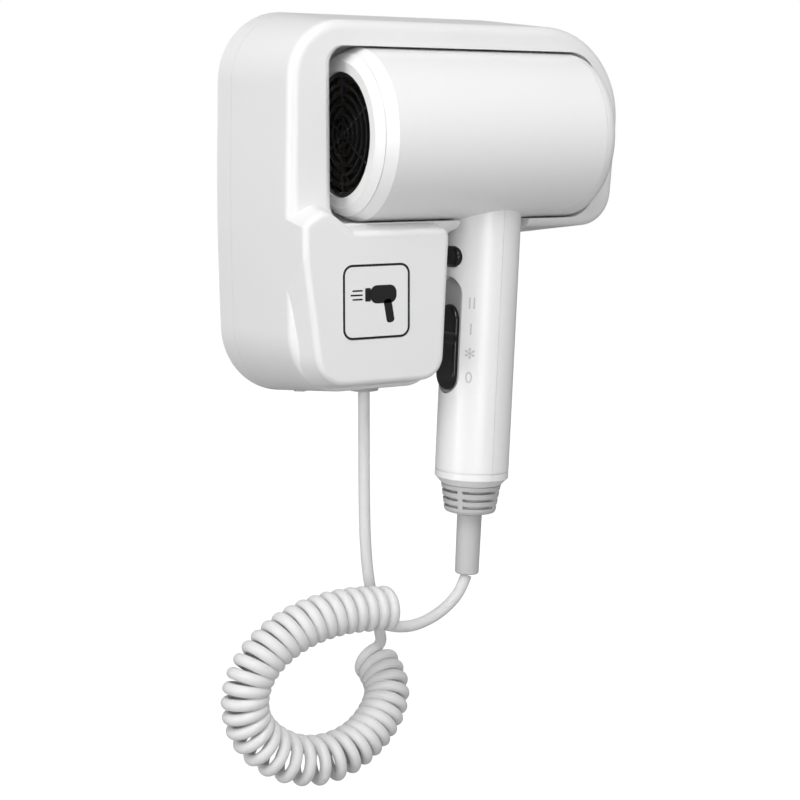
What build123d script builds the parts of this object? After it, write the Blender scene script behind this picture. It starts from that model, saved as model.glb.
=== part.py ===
"""Wall-mounted hair dryer: a base with a cradle, a handset and a curly cord. Millimetres.

+X runs along the barrel from its outlet to its intake, +Y into the wall and +Z up. The origin is
the centre of the wall screw pattern, on the wall face of the base.
"""
import os
from math import atan, cos, degrees, radians, sin, tan

from build123d import *

# ---------------------------------------------------------------- driving dimensions
WALL = 2.4  # moulded wall
SEAM = 0.3  # open line between two mouldings
FIT = 0.1  # gap all round a piece that drops into its seat

# Wall base, seen from the front. Depths are measured from the wall face.
BASE_OUTLINE = [(-40, 88.5), (162, 88.5), (152.5, -21), (51, -21), (48, -95), (-40.5, -95), (-42.5, -10)]
BASE_RADII = [34, 50, 24, 8, 20, 34, 1200]
DRAFT = 6.3  # degrees, all round the base
TRAY_DEPTH = 12.0
RIM_DEPTH = 62.0
POCKET_DEPTH = 74.0
POCKET_ROOT = 56.0
POCKET_DRAFT = 13.0
POCKET_OUTLINE = [(-35.5, -10.5), (-22.5, -3.2), (-8.5, -13.6), (42.8, -13.4), (39.2, -83.5), (-26, -83.5)]
POCKET_RADII = [9, 6, 4, 4, 11, 16]

# Wall fixing: four screws on a rectangle, and the supply cable's entry below it
FIXING_X, FIXING_Z = 56.0, 116.0
FIXING_R = 2.25
SUPPLY_Z = -70.0
SUPPLY_R = 6.0
CLOSING_X, CLOSING_Y = (-8.0, 24.0), -18.5  # screws that close the base from below

# Barrel, on an axis along X
BARREL_Y, BARREL_Z = -52.0, 30.0
BARREL_R = 40.0
SHELL = 2.2
NOSE_X, NOSE_SEAM_X, SHOULDER_X = -4.2, -0.5, 4.8
NOSE_FACE_R, NOSE_SEAM_R, OUTLET_R = 34.1, 37.3, 28.9
REAR_SEAM_X, REAR_X = 120.9, 129.5
REAR_ROUND = 8.5
INTAKE_R = 25.0

# Cradle in the base that takes the barrel, open to the front
CRADLE_R = 40.3
CRADLE_X = (-12.0, 137.0)

# Handle: its own frame has its origin on the barrel axis, z up the handle and x to the rear
HANDLE_X = 78.27
HANDLE_TILT = degrees(atan(0.0489))
HANDLE_R = 18.3
HANDLE_END = -171.2
GROOVE = -164.1
STRIP_HALF = 17.3  # half the width of the rear shell's strip under the barrel
STRIP_CORNER = 20.0

# Controls on the handle's outlet side; heights along the handle
TRACK_TOP, TRACK_LENGTH, TRACK_WIDTH = -68.8, 57.0, 17.4
TRACK_FACE = 16.3  # distance of the track's face from the handle axis
KNOB_LENGTH, KNOB_WIDTH, KNOB_CREST = 42.0, 16.2, 19.0
KNOB_TRAVEL = 12.5
BUTTON_HEIGHT, BUTTON_LENGTH, BUTTON_WIDTH, BUTTON_CREST = -59.0, 15.4, 9.6, 19.4
BUTTON_TRAVEL = 2.0

# Strain relief and sleeve under the handle
RELIEF_END = -185.6
SLEEVE_END = -217.0
CORD_R = 2.85

# Motor and fan on the barrel axis
SHAFT_R = 1.15
BEARING_CLEARANCE = 0.04
MOTOR_X = (72.0, 98.0)
MOTOR_R = 13.8
FAN_X = (101.5, 114.0)
FAN_R = 34.0
DUCT_X = (70.0, 118.5)
DUCT_R = 37.4
HEATER_X = (10.0, 57.0)

# Curly cord: coil centre line from the handset's end to the base's end, and its two straight tails
COIL_R = 11.6
COIL_ROUTE = [(20, -56, -197.5), (6, -55.6, -195.6), (-11, -54.6, -196), (-27, -53.5, -199.6),
              (-41, -53, -206.8), (-51.8, -52.5, -217.2), (-56.8, -52, -231), (-54.4, -51.5, -245.5),
              (-44.4, -50.8, -258.3), (-29.5, -50, -267.3), (-12, -48.6, -271), (6, -46.4, -267.8),
              (20.5, -42.8, -259.6), (31, -36.5, -249.6), (34.6, -27, -241.3), (33.8, -17, -235.6)]
BASE_TAIL = [(14.4, -42, -91.5), (14.4, -42, -115), (14.6, -41.6, -140), (15.6, -40.4, -164),
             (18.6, -38.2, -186), (24.6, -34.6, -204), (32.4, -27.6, -222.6)]
HANDSET_TAIL = [(67.3, -52, -187.9), (64.7, -52, -194.4), (58.2, -52, -201.2), (48.6, -52.2, -206.6),
                (37.5, -53, -209.2), (28, -54.2, -208.6), (18.9, -55.2, -206.4)]
TAIL_ARC = 0.45  # share of the shorter run that an arc takes

BARREL_AXIS = Axis((0, BARREL_Y, BARREL_Z), (1, 0, 0))
PROFILE = Plane(origin=(0, BARREL_Y, BARREL_Z), x_dir=(1, 0, 0), z_dir=(0, -1, 0))
TILT = radians(HANDLE_TILT)
HANDLE_TOP = (HANDLE_X, BARREL_Y, BARREL_Z)
HANDLE = Plane(origin=HANDLE_TOP, x_dir=(cos(TILT), 0, -sin(TILT)), z_dir=(sin(TILT), 0, cos(TILT)))
HANDLE_PROFILE = Plane(origin=HANDLE.origin, x_dir=HANDLE.x_dir, z_dir=(0, -1, 0))
HANDLE_AXIS = Axis(HANDLE.origin, HANDLE.z_dir)
CONTROLS = Plane(origin=HANDLE.origin, x_dir=(0, -1, 0), z_dir=-HANDLE.x_dir)
REARWARD = Plane(origin=HANDLE.origin, x_dir=(0, 1, 0), z_dir=HANDLE.x_dir)

KNOB_HEIGHT = TRACK_TOP - KNOB_TRAVEL - KNOB_LENGTH / 2 - 0.9
TRACK_HEIGHT = TRACK_TOP - TRACK_LENGTH / 2


def barrel_plane(x):
    """A plane across the barrel at x, with its origin on the barrel axis."""
    return Plane(origin=(x, BARREL_Y, BARREL_Z), x_dir=(0, 1, 0), z_dir=(1, 0, 0))


def turned(points, mode=Mode.ADD):
    """Turn an outline of (x, radius) points about the barrel axis."""
    with BuildSketch(PROFILE) as section:
        with BuildLine():
            Polyline(*points, close=True)
        make_face()
    revolve(section.sketch, axis=BARREL_AXIS, mode=mode)


def turned_on_handle(points, mode=Mode.ADD):
    """Turn an outline of (radius, height) points about the handle axis."""
    with BuildSketch(HANDLE_PROFILE) as section:
        with BuildLine():
            Polyline(*points, close=True)
        make_face()
    revolve(section.sketch, axis=HANDLE_AXIS, mode=mode)


def rod(start, direction, radius, length, mode=Mode.ADD):
    """A round bar from a point along a direction."""
    with BuildSketch(Plane(origin=start, z_dir=direction)) as section:
        Circle(radius)
    extrude(section.sketch, amount=length, mode=mode)


def block(low, high, mode=Mode.ADD):
    """A box from its lowest corner to its highest."""
    size = [b - a for a, b in zip(low, high)]
    with Locations(tuple((a + b) / 2 for a, b in zip(low, high))):
        Box(*size, mode=mode)


def handle_block(low, high, mode=Mode.ADD):
    """A box in the handle's own frame, from its lowest corner to its highest."""
    with BuildSketch(HANDLE.offset(low[2])) as section:
        with Locations(((low[0] + high[0]) / 2, (low[1] + high[1]) / 2)):
            Rectangle(high[0] - low[0], high[1] - low[1])
    extrude(section.sketch, amount=high[2] - low[2], mode=mode)


def control_slot(height, length, width, near, far, mode=Mode.ADD, upright=True):
    """An obround block on the controls' side, between two distances from the handle axis."""
    with BuildSketch(CONTROLS.offset(near)) as section:
        with Locations((0, height)):
            SlotOverall(length, width, rotation=90 if upright else 0)
    extrude(section.sketch, amount=far - near, mode=mode)


def outline_sketch(points, radii, depth, grow):
    """A rounded outline at a depth from the wall face, grown or shrunk all round."""
    with BuildSketch(Plane.XZ.offset(depth)) as sketch:
        with BuildLine():
            FilletPolyline(*points, radius=radii, close=True)
        make_face()
        if grow:
            offset(amount=grow, mode=Mode.REPLACE)
    return sketch.sketch


def base_prism(near, far, inset=0.0):
    """The drafted block of the wall base between two depths."""
    shrink = near * tan(radians(DRAFT)) + inset
    sketch = outline_sketch(BASE_OUTLINE, BASE_RADII, near, -shrink)
    return extrude(sketch, amount=far - near, taper=DRAFT, mode=Mode.PRIVATE)


def pocket_prism(near, far, inset=0.0):
    """The drafted block of the pocket in front of the column."""
    grow = (POCKET_DEPTH - near) * tan(radians(POCKET_DRAFT)) - inset
    sketch = outline_sketch(POCKET_OUTLINE, POCKET_RADII, near, grow)
    return extrude(sketch, amount=far - near, taper=POCKET_DRAFT, mode=Mode.PRIVATE)


def cradle_space(grow=0.0):
    """The space that the barrel slides into from the front."""
    with BuildPart() as space:
        with BuildSketch(barrel_plane(CRADLE_X[0] - grow)):
            Circle(CRADLE_R + grow)
            with Locations((-POCKET_DEPTH / 2, 0)):
                Rectangle(POCKET_DEPTH, 2 * (CRADLE_R + grow))
        extrude(amount=CRADLE_X[1] - CRADLE_X[0] + 2 * grow)
        left, right = CRADLE_X[0] - grow, CRADLE_X[1] + grow
        low, high = BARREL_Z - CRADLE_R - grow, BARREL_Z + CRADLE_R + grow
        with BuildSketch(Plane.XZ):
            with BuildLine():
                corners = [(left, low), (left, high), (right, high), (right, low)]
                FilletPolyline(*corners, radius=[9 + grow, 9 + grow, 17 + grow, 17 + grow], close=True)
            make_face()
        extrude(amount=2 * POCKET_DEPTH, mode=Mode.INTERSECT)
    return space.part


def mouth_outline(depth, grow):
    """The mouth of the cradle at a depth, grown at the outlet's end only."""
    low, high = BARREL_Z - CRADLE_R, BARREL_Z + CRADLE_R
    left, right = CRADLE_X[0] - grow, CRADLE_X[1]
    corners = [(left, low), (left, high), (right, high), (right, low)]
    return outline_sketch(corners, [9, 9, 17, 17], depth, 0)


def handle_notch(grow=0.0):
    """The slot in the cradle's ledge that the handle slides into."""
    with BuildPart() as notch:
        with BuildSketch(Plane.XY.offset(-40)):
            with Locations((HANDLE_X - 2, BARREL_Y)):
                Circle(HANDLE_R + 1.7 + grow)
            with Locations((HANDLE_X - 2, BARREL_Y - 30)):
                Rectangle(2 * (HANDLE_R + 1.7 + grow), 60)
        extrude(amount=50)
    return notch.part


def rear_region(gap):
    """The rear shell's share: the rear cap, a strip under the barrel and the handle's rear half."""
    seam_x = HANDLE_X - 35 * sin(TILT) - gap
    with BuildPart() as region:
        block((REAR_SEAM_X - gap, BARREL_Y - 45, BARREL_Z - 45),
              (REAR_X + 5, BARREL_Y + 45, BARREL_Z + 45))
        with BuildSketch(Plane.XY.offset(-28)) as strip:
            with Locations(((seam_x + REAR_X) / 2, BARREL_Y)):
                Rectangle(REAR_X - seam_x, 2 * (STRIP_HALF + gap))
            with Locations((REAR_SEAM_X - gap + 4, BARREL_Y)):
                Rectangle(8, 84)
            seam = REAR_SEAM_X - gap
            corners = strip.vertices().filter_by_position(Axis.X, seam - 0.1, seam + 0.1)
            fillet(corners.sort_by(lambda v: abs(v.Y - BARREL_Y))[:2], STRIP_CORNER)
        extrude(amount=45)
        handle_block((-gap, -25, -190), (25, 25, -34.5))
    return region.part


def corner_radii(points):
    """The radius of each corner's arc, as large as its two runs allow."""
    radii = []
    for before, corner, after in zip(points, points[1:], points[2:]):
        into, out = Vector(*corner) - Vector(*before), Vector(*after) - Vector(*corner)
        half_turn = radians(into.get_angle(out)) / 2
        radii.append(TAIL_ARC * min(into.length, out.length) / tan(half_turn))
    return radii


def tube(points, radius):
    """A round tube along straight runs joined by tangent arcs."""
    with BuildPart() as solid:
        with BuildLine() as path:
            FilletPolyline(*points, radius=corner_radii(points))
        route = path.wire()
        with BuildSketch(Plane(origin=route @ 0, z_dir=route % 0)):
            Circle(radius)
        sweep()
    return solid.part


def leads(routes, radius):
    """Insulated wires along the given routes."""
    with BuildPart() as wires:
        for route in routes:
            add(tube(route, radius))
    return wires.part


def in_handle(x, y, height):
    """A point given in the handle's own frame."""
    return tuple(HANDLE.from_local_coords(Vector(x, y, height)))


nodes = {}

# ================================================================ wall base
LIP_ROOT, LIP_END = TRAY_DEPTH - 3, TRAY_DEPTH + 2.5
lip = base_prism(LIP_ROOT, LIP_END, WALL + FIT) - base_prism(LIP_ROOT, LIP_END, 2 * WALL)
lip_web = base_prism(LIP_ROOT, LIP_ROOT + 1.5, WALL / 2) - base_prism(LIP_ROOT, LIP_ROOT + 1.5, 2 * WALL)
with BuildPart() as back_cover:
    add(base_prism(0, TRAY_DEPTH))
    add(base_prism(WALL, TRAY_DEPTH + 1, WALL), mode=Mode.SUBTRACT)
    add(lip)
    add(lip_web)
    for x in (-FIXING_X / 2, FIXING_X / 2):
        for z in (-FIXING_Z / 2, FIXING_Z / 2):
            rod((x, -WALL + 0.5, z), (0, -1, 0), 5.5, 2.0)
            rod((x, 1, z), (0, -1, 0), FIXING_R, 8, Mode.SUBTRACT)
    rod((0, -WALL + 0.5, SUPPLY_Z), (0, -1, 0), SUPPLY_R + 2, 2.5)
    rod((0, 1, SUPPLY_Z), (0, -1, 0), SUPPLY_R, 10, Mode.SUBTRACT)
    for x in CLOSING_X:
        block((x - 6, -24, -88), (x + 6, -WALL + 0.5, -79))
        rod((x, CLOSING_Y, -95), (0, 0, 1), 1.25, 14, Mode.SUBTRACT)
nodes["back_cover"] = back_cover.part

with BuildPart() as housing_body:
    add(base_prism(TRAY_DEPTH + SEAM, RIM_DEPTH))
    fillet(housing_body.faces().sort_by(Axis.Y)[0].edges(), 5)

with BuildPart() as pocket_body:
    add(pocket_prism(POCKET_ROOT, POCKET_DEPTH))
    add(base_prism(TRAY_DEPTH, POCKET_DEPTH + 1), mode=Mode.INTERSECT)
    fillet(pocket_body.faces().sort_by(Axis.Y)[0].edges(), 3)

with BuildPart() as housing_hollow:
    add(base_prism(TRAY_DEPTH, RIM_DEPTH - WALL, WALL))
    add(pocket_prism(POCKET_ROOT, POCKET_DEPTH - WALL, WALL))
    add(base_prism(TRAY_DEPTH, POCKET_DEPTH, WALL), mode=Mode.INTERSECT)
    add(cradle_space(WALL), mode=Mode.SUBTRACT)
    add(handle_notch(WALL), mode=Mode.SUBTRACT)

with BuildPart() as cradle_wall:
    add(cradle_space(WALL))
    block((-60, -RIM_DEPTH + 3, -20), (200, 0, 90), Mode.INTERSECT)
    add(base_prism(0, RIM_DEPTH, 2 * WALL + 3 * FIT), mode=Mode.INTERSECT)

# the mouth's edge rolls into the cradle
MOUTH_STEPS = [(55.0, 0.0), (58.5, 0.7), (60.9, 2.3), (62.1, 4.6)]  # depth and growth
cradle_mouth = loft([mouth_outline(depth, grow) for depth, grow in MOUTH_STEPS])

BUSH = Vector(*BASE_TAIL[0])
with BuildPart() as front_housing:
    add(housing_body.part)
    add(pocket_body.part)
    add(housing_hollow.part, mode=Mode.SUBTRACT)
    add(cradle_wall.part)
    add(cradle_space(), mode=Mode.SUBTRACT)
    add(handle_notch(), mode=Mode.SUBTRACT)
    add(cradle_mouth, mode=Mode.SUBTRACT)
    # rib that the cord is clamped against, and the seat of the cord's bush
    block((BUSH.X - 15, -POCKET_DEPTH + WALL - 0.2, -84), (BUSH.X + 15, BUSH.Y - CORD_R, -75))
    for x in (-10.5, 10.5):
        rod((BUSH.X + x, BUSH.Y - CORD_R + 1, -79.5), (0, -1, 0), 1.2, 12, Mode.SUBTRACT)
    rod((BUSH.X, BUSH.Y, -100), (0, 0, 1), 5.5, 14, Mode.SUBTRACT)
    # post for the parking switch, below the cradle's ledge
    block((12, -POCKET_DEPTH + WALL - 0.3, -40), (28, -38, -37.5))
    for x in CLOSING_X:
        rod((x, CLOSING_Y, -100), (0, 0, 1), 1.7, 11, Mode.SUBTRACT)
        rod((x, CLOSING_Y, -100), (0, 0, 1), 3.4, 8.3, Mode.SUBTRACT)
nodes["front_housing"] = front_housing.part

with BuildPart() as housing_screws:
    for x in CLOSING_X:
        rod((x, CLOSING_Y, -91.8), (0, 0, -1), 3.0, 1.4)
        rod((x, CLOSING_Y, -91.8), (0, 0, 1), 1.25, 9)
        block((x - 2.2, CLOSING_Y - 0.4, -93.3), (x + 2.2, CLOSING_Y + 0.4, -92.6), Mode.SUBTRACT)
nodes["housing_screws"] = housing_screws.part

with BuildPart() as terminal_block:
    block((-24, -16, -46), (10, -WALL, -30))
    for x in (-18.5, -7, 4.5):
        rod((x, -17, -38), (0, 1, 0), 3.2, 6, Mode.SUBTRACT)
        rod((x, -9, -50), (0, 0, 1), 1.6, 8, Mode.SUBTRACT)
        rod((x, -9, -34), (0, 0, 1), 1.6, 8, Mode.SUBTRACT)
nodes["terminal_block"] = terminal_block.part

with BuildPart() as terminal_screws:
    for x in (-18.5, -7, 4.5):
        rod((x, -11, -38), (0, -1, 0), 2.6, 3)
        block((x - 3, -15, -38.4), (x + 3, -13.4, -37.6), Mode.SUBTRACT)
nodes["terminal_screws"] = terminal_screws.part

with BuildPart() as supply_grommet:
    with BuildSketch(Plane.XZ) as section:
        with Locations((0, SUPPLY_Z)):
            Circle(SUPPLY_R - FIT)
            Circle(SUPPLY_R - 1.8, mode=Mode.SUBTRACT)
    extrude(amount=5.2)
    with BuildSketch(Plane.XZ.offset(WALL + 2.1)):
        with Locations((0, SUPPLY_Z)):
            Circle(SUPPLY_R + 1.8)
            Circle(SUPPLY_R - 1.8, mode=Mode.SUBTRACT)
    extrude(amount=1.6)
nodes["supply_grommet"] = supply_grommet.part

with BuildPart() as cord_bush:
    rod((BUSH.X, BUSH.Y, BUSH.Z), (0, 0, 1), 7.0, 1.2)
    rod((BUSH.X, BUSH.Y, BUSH.Z), (0, 0, 1), 5.5 - FIT, 8)
    rod((BUSH.X, BUSH.Y, BUSH.Z - 1), (0, 0, 1), CORD_R + FIT / 2, 12, Mode.SUBTRACT)
    add(front_housing.part, mode=Mode.SUBTRACT)
nodes["cord_bush"] = cord_bush.part

with BuildPart() as cord_clamp:
    block((BUSH.X - 15, BUSH.Y - CORD_R + 1, -83), (BUSH.X + 15, BUSH.Y + CORD_R + 2.4, -76))
    rod((BUSH.X, BUSH.Y, -90), (0, 0, 1), CORD_R, 20, Mode.SUBTRACT)
    for x in (-10.5, 10.5):
        rod((BUSH.X + x, BUSH.Y + 8, -79.5), (0, -1, 0), 1.5, 14, Mode.SUBTRACT)
nodes["cord_clamp"] = cord_clamp.part

with BuildPart() as clamp_screws:
    for x in (-10.5, 10.5):
        rod((BUSH.X + x, BUSH.Y + CORD_R + 2.4, -79.5), (0, 1, 0), 2.7, 1.8)
        rod((BUSH.X + x, BUSH.Y + CORD_R + 2.4, -79.5), (0, -1, 0), 1.2, 14)
        block((BUSH.X + x - 2, BUSH.Y + CORD_R + 3.4, -79.9),
              (BUSH.X + x + 2, BUSH.Y + CORD_R + 4.4, -79.1), Mode.SUBTRACT)
nodes["clamp_screws"] = clamp_screws.part

with BuildPart() as base_cord_end:
    rod(tuple(BUSH), (0, 0, 1), CORD_R, 23)
nodes["base_cord_end"] = base_cord_end.part

with BuildPart() as parking_switch:
    block((13, -57, -37.5), (27, -41, -34.5))
    block((15, -55, -34.5), (25, -51, -31.5))
nodes["parking_switch"] = parking_switch.part

with BuildPart() as pocket_badge:
    with BuildSketch(Plane.XZ.offset(POCKET_DEPTH)):
        with Locations((3.0, -45.5)):
            RectangleRounded(35.5, 34.5, 5)
    extrude(amount=0.15)
nodes["pocket_badge"] = pocket_badge.part

base_routes = [
    [(BUSH.X - 1.2, BUSH.Y, -68.4), (BUSH.X - 1.2, BUSH.Y, -60), (2, -24, -55), (-7, -9, -52),
     (-7, -9, -46.2)],
    [(BUSH.X + 1.2, BUSH.Y, -68.4), (BUSH.X + 1.2, BUSH.Y, -62), (12, -26, -57), (4.5, -9, -53),
     (4.5, -9, -46.2)],
    [(18, -40.6, -36), (18, -32, -37), (8, -22, -50), (-10, -12, -56), (-18.5, -9, -53), (-18.5, -9, -46.2)],
]
nodes["base_leads"] = leads(base_routes, 0.9)

# ================================================================ handset shells
with BuildPart() as handset_outside:
    turned([(NOSE_SEAM_X, 0), (NOSE_SEAM_X, NOSE_SEAM_R), (SHOULDER_X, BARREL_R), (REAR_X, BARREL_R),
            (REAR_X, 0)])
    rear_rim = handset_outside.edges().filter_by(GeomType.CIRCLE).sort_by(Axis.X)[-1]
    fillet(rear_rim, REAR_ROUND)
    rod(in_handle(0, 0, HANDLE_END), tuple(HANDLE.z_dir), HANDLE_R, -HANDLE_END)
    foot = handset_outside.edges().filter_by(GeomType.CIRCLE).sort_by(Axis.Z)[0]
    chamfer(foot, 3.6, 3.4)
    turned_on_handle([(HANDLE_R - 0.8, GROOVE - 0.4), (HANDLE_R + 1, GROOVE - 0.4),
                      (HANDLE_R + 1, GROOVE + 0.4), (HANDLE_R - 0.8, GROOVE + 0.4)], Mode.SUBTRACT)

INNER_R = BARREL_R - SHELL
HANDLE_BORE = HANDLE_R - SHELL
with BuildPart() as handset_hollow:
    turned([(NOSE_SEAM_X - 1, 0), (NOSE_SEAM_X - 1, 35.2), (SHOULDER_X, 35.2), (SHOULDER_X + 2, INNER_R),
            (REAR_X - REAR_ROUND, INNER_R), (REAR_X - SHELL, INNER_R - REAR_ROUND + SHELL),
            (REAR_X - SHELL, 0)])
    rod(in_handle(0, 0, -167.4), tuple(HANDLE.z_dir), HANDLE_BORE, 167.4)
    rod(in_handle(0, 0, HANDLE_END - 1), tuple(HANDLE.z_dir), 13.7, 20)
    rod((REAR_X - 5, BARREL_Y, BARREL_Z), (1, 0, 0), INTAKE_R, 10)

SHELL_SCREW_HEIGHT = -141
with BuildPart() as front_shell:
    add(handset_outside.part)
    add(handset_hollow.part, mode=Mode.SUBTRACT)
    add(rear_region(SEAM * 0.7), mode=Mode.SUBTRACT)
    control_slot(TRACK_HEIGHT, TRACK_LENGTH + 2 * FIT, TRACK_WIDTH + 2 * FIT, TRACK_FACE - 1.6, HANDLE_R + 5,
                 Mode.SUBTRACT)
    control_slot(BUTTON_HEIGHT, BUTTON_LENGTH + 0.6, BUTTON_WIDTH + 0.6, 5, HANDLE_R + 5, Mode.SUBTRACT,
                 upright=False)
    handle_block((-HANDLE_BORE - 0.5, -3.5, SHELL_SCREW_HEIGHT - 3.5), (-0.5, 3.5, SHELL_SCREW_HEIGHT + 3.5))
    rod(in_handle(0, 0, SHELL_SCREW_HEIGHT), tuple(-HANDLE.x_dir), 1.2, 9, Mode.SUBTRACT)
nodes["front_shell"] = front_shell.part

with BuildPart() as rear_shell:
    add(handset_outside.part)
    add(handset_hollow.part, mode=Mode.SUBTRACT)
    add(rear_region(0), mode=Mode.INTERSECT)
    with BuildSketch(REARWARD) as boss:
        with Locations((0, SHELL_SCREW_HEIGHT)):
            Circle(3.5)
    extrude(boss.sketch, amount=HANDLE_BORE + 1)
    rod(in_handle(-1, 0, SHELL_SCREW_HEIGHT), tuple(HANDLE.x_dir), 1.5, 30, Mode.SUBTRACT)
    rod(in_handle(10, 0, SHELL_SCREW_HEIGHT), tuple(HANDLE.x_dir), 2.9, 20, Mode.SUBTRACT)
nodes["rear_shell"] = rear_shell.part

with BuildPart() as shell_screw:
    rod(in_handle(10, 0, SHELL_SCREW_HEIGHT), tuple(HANDLE.x_dir), 2.7, 2.0)
    rod(in_handle(10, 0, SHELL_SCREW_HEIGHT), tuple(-HANDLE.x_dir), 1.2, 16)
    handle_block((11.2, -2.1, SHELL_SCREW_HEIGHT - 0.4), (12.5, 2.1, SHELL_SCREW_HEIGHT + 0.4), Mode.SUBTRACT)
    handle_block((11.2, -0.4, SHELL_SCREW_HEIGHT - 2.1), (12.5, 0.4, SHELL_SCREW_HEIGHT + 2.1), Mode.SUBTRACT)
nodes["shell_screw"] = shell_screw.part

# ================================================================ outlet and heater
with BuildPart() as nose_ring:
    turned([(NOSE_X, OUTLET_R), (NOSE_X, NOSE_FACE_R - 0.6), (NOSE_X + 0.6, NOSE_FACE_R),
            (NOSE_SEAM_X - SEAM, NOSE_SEAM_R), (NOSE_SEAM_X - SEAM, 35.0), (SHOULDER_X, 35.0),
            (SHOULDER_X, 33.4), (NOSE_X + 3.6, 33.4), (NOSE_X + 3.6, OUTLET_R)])
nodes["nose_ring"] = nose_ring.part

RING_STEP = 4.4
with BuildPart() as outlet_grille:
    for ring in range(6):
        radius = 5.2 + ring * RING_STEP
        turned([(NOSE_X + 1.6, radius - 0.65), (NOSE_X + 1.6, radius + 0.65), (NOSE_X + 3.4, radius + 0.65),
                (NOSE_X + 3.4, radius - 0.65)])
    turned([(NOSE_X + 1.6, 0), (NOSE_X + 1.6, 2.4), (NOSE_X + 3.4, 2.4), (NOSE_X + 3.4, 0)])
    for turn in (0, 60, 120):
        with BuildSketch(barrel_plane(NOSE_X + 1.9)) as spoke:
            Rectangle(1.3, 2 * (OUTLET_R - 0.2), rotation=turn)
        extrude(spoke.sketch, amount=1.5)
    turned([(NOSE_X + 1.6, OUTLET_R - 1.4), (NOSE_X + 1.6, OUTLET_R - FIT), (NOSE_X + 3.7, OUTLET_R - FIT),
            (NOSE_X + 3.7, 31.5), (NOSE_X + 5.2, 31.5), (NOSE_X + 5.2, OUTLET_R - 1.4)])
nodes["outlet_grille"] = outlet_grille.part

HEAT_SHIELD_R = 33.0
with BuildPart() as heat_shield:
    turned([(HEATER_X[0] - 3, HEAT_SHIELD_R - 0.8), (HEATER_X[0] - 3, HEAT_SHIELD_R),
            (HEATER_X[1] + 3, HEAT_SHIELD_R), (HEATER_X[1] + 3, HEAT_SHIELD_R - 0.8)])
nodes["heat_shield"] = heat_shield.part

COIL_WIRE_R, COIL_TURN_R = 0.6, 28.4
COIL_STATIONS = range(13, 49, 5)
with BuildPart() as heater_former:
    for turn in (0, 90):
        with BuildSketch(barrel_plane(HEATER_X[0])) as board:
            Rectangle(0.9, 2 * (HEAT_SHIELD_R - 1.0), rotation=turn)
        extrude(board.sketch, amount=HEATER_X[1] - HEATER_X[0])
    for x in COIL_STATIONS:
        turned([(x - 0.8, COIL_TURN_R - 0.8), (x - 0.8, 35), (x + 0.8, 35), (x + 0.8, COIL_TURN_R - 0.8)],
               Mode.SUBTRACT)
nodes["heater_former"] = heater_former.part

with BuildPart() as heating_coils:
    for x in COIL_STATIONS:
        with BuildSketch(PROFILE) as wire:
            with Locations((x, COIL_TURN_R)):
                Circle(COIL_WIRE_R)
        revolve(wire.sketch, axis=BARREL_AXIS)
nodes["heating_coils"] = heating_coils.part

with BuildPart() as thermal_cutout:
    block((46, BARREL_Y + 0.6, BARREL_Z + 5), (56, BARREL_Y + 4.2, BARREL_Z + 14))
nodes["thermal_cutout"] = thermal_cutout.part

with BuildPart() as thermal_fuse:
    rod((44, BARREL_Y - 2.6, BARREL_Z - 9), (1, 0, 0), 1.9, 11)
nodes["thermal_fuse"] = thermal_fuse.part

# ================================================================ fan, motor and intake
with BuildPart() as fan_duct:
    turned([(DUCT_X[0], DUCT_R - 1.6), (DUCT_X[0], DUCT_R), (DUCT_X[1], DUCT_R), (DUCT_X[1], DUCT_R - 1.6)])
    turned([(DUCT_X[0], MOTOR_R + FIT), (DUCT_X[0], MOTOR_R + 1.8), (MOTOR_X[1] - 2, MOTOR_R + 1.8),
            (MOTOR_X[1] - 2, MOTOR_R + FIT)])
    for vane in range(7):
        with BuildSketch(barrel_plane(DUCT_X[0] + 1)) as blade:
            with PolarLocations((MOTOR_R + DUCT_R) / 2 + 0.2, 1, start_angle=vane * 360 / 7 + 12):
                Rectangle(DUCT_R - MOTOR_R - 2, 1.2)
        extrude(blade.sketch, amount=22)
nodes["fan_duct"] = fan_duct.part

with BuildPart() as motor_can:
    turned([(MOTOR_X[0], 4.1), (MOTOR_X[0], MOTOR_R), (MOTOR_X[1], MOTOR_R), (MOTOR_X[1], MOTOR_R - 0.9),
            (MOTOR_X[0] + 0.9, MOTOR_R - 0.9), (MOTOR_X[0] + 0.9, 4.1)])
nodes["motor_can"] = motor_can.part

with BuildPart() as motor_end_cap:
    turned([(MOTOR_X[1] - 2.2, 4.1), (MOTOR_X[1] - 2.2, MOTOR_R - 1.0), (MOTOR_X[1], MOTOR_R - 1.0),
            (MOTOR_X[1], 4.1)])
nodes["motor_end_cap"] = motor_end_cap.part

with BuildPart() as motor_bearings:
    for x in (MOTOR_X[0], MOTOR_X[1] - 2.6):
        turned([(x, SHAFT_R + BEARING_CLEARANCE), (x, 4.1), (x + 2.6, 4.1),
                (x + 2.6, SHAFT_R + BEARING_CLEARANCE)])
nodes["motor_bearings"] = motor_bearings.part

with BuildPart() as motor_magnets:
    turned([(MOTOR_X[0] + 4, 10.9), (MOTOR_X[0] + 4, MOTOR_R - 1.0), (MOTOR_X[1] - 5, MOTOR_R - 1.0),
            (MOTOR_X[1] - 5, 10.9)])
    block((MOTOR_X[0], BARREL_Y - 20, BARREL_Z - 5), (MOTOR_X[1], BARREL_Y + 20, BARREL_Z + 5), Mode.SUBTRACT)
nodes["motor_magnets"] = motor_magnets.part

with BuildPart() as suppressor_board:
    turned([(MOTOR_X[0] - 2.2, 4.6), (MOTOR_X[0] - 2.2, 12.5), (MOTOR_X[0] - 0.6, 12.5),
            (MOTOR_X[0] - 0.6, 4.6)])
    for turn in range(4):
        with BuildSketch(barrel_plane(MOTOR_X[0] - 5.2)) as diode:
            with PolarLocations(9, 1, start_angle=45 + 90 * turn):
                Rectangle(3, 5)
        extrude(diode.sketch, amount=3)
nodes["suppressor_board"] = suppressor_board.part

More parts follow.
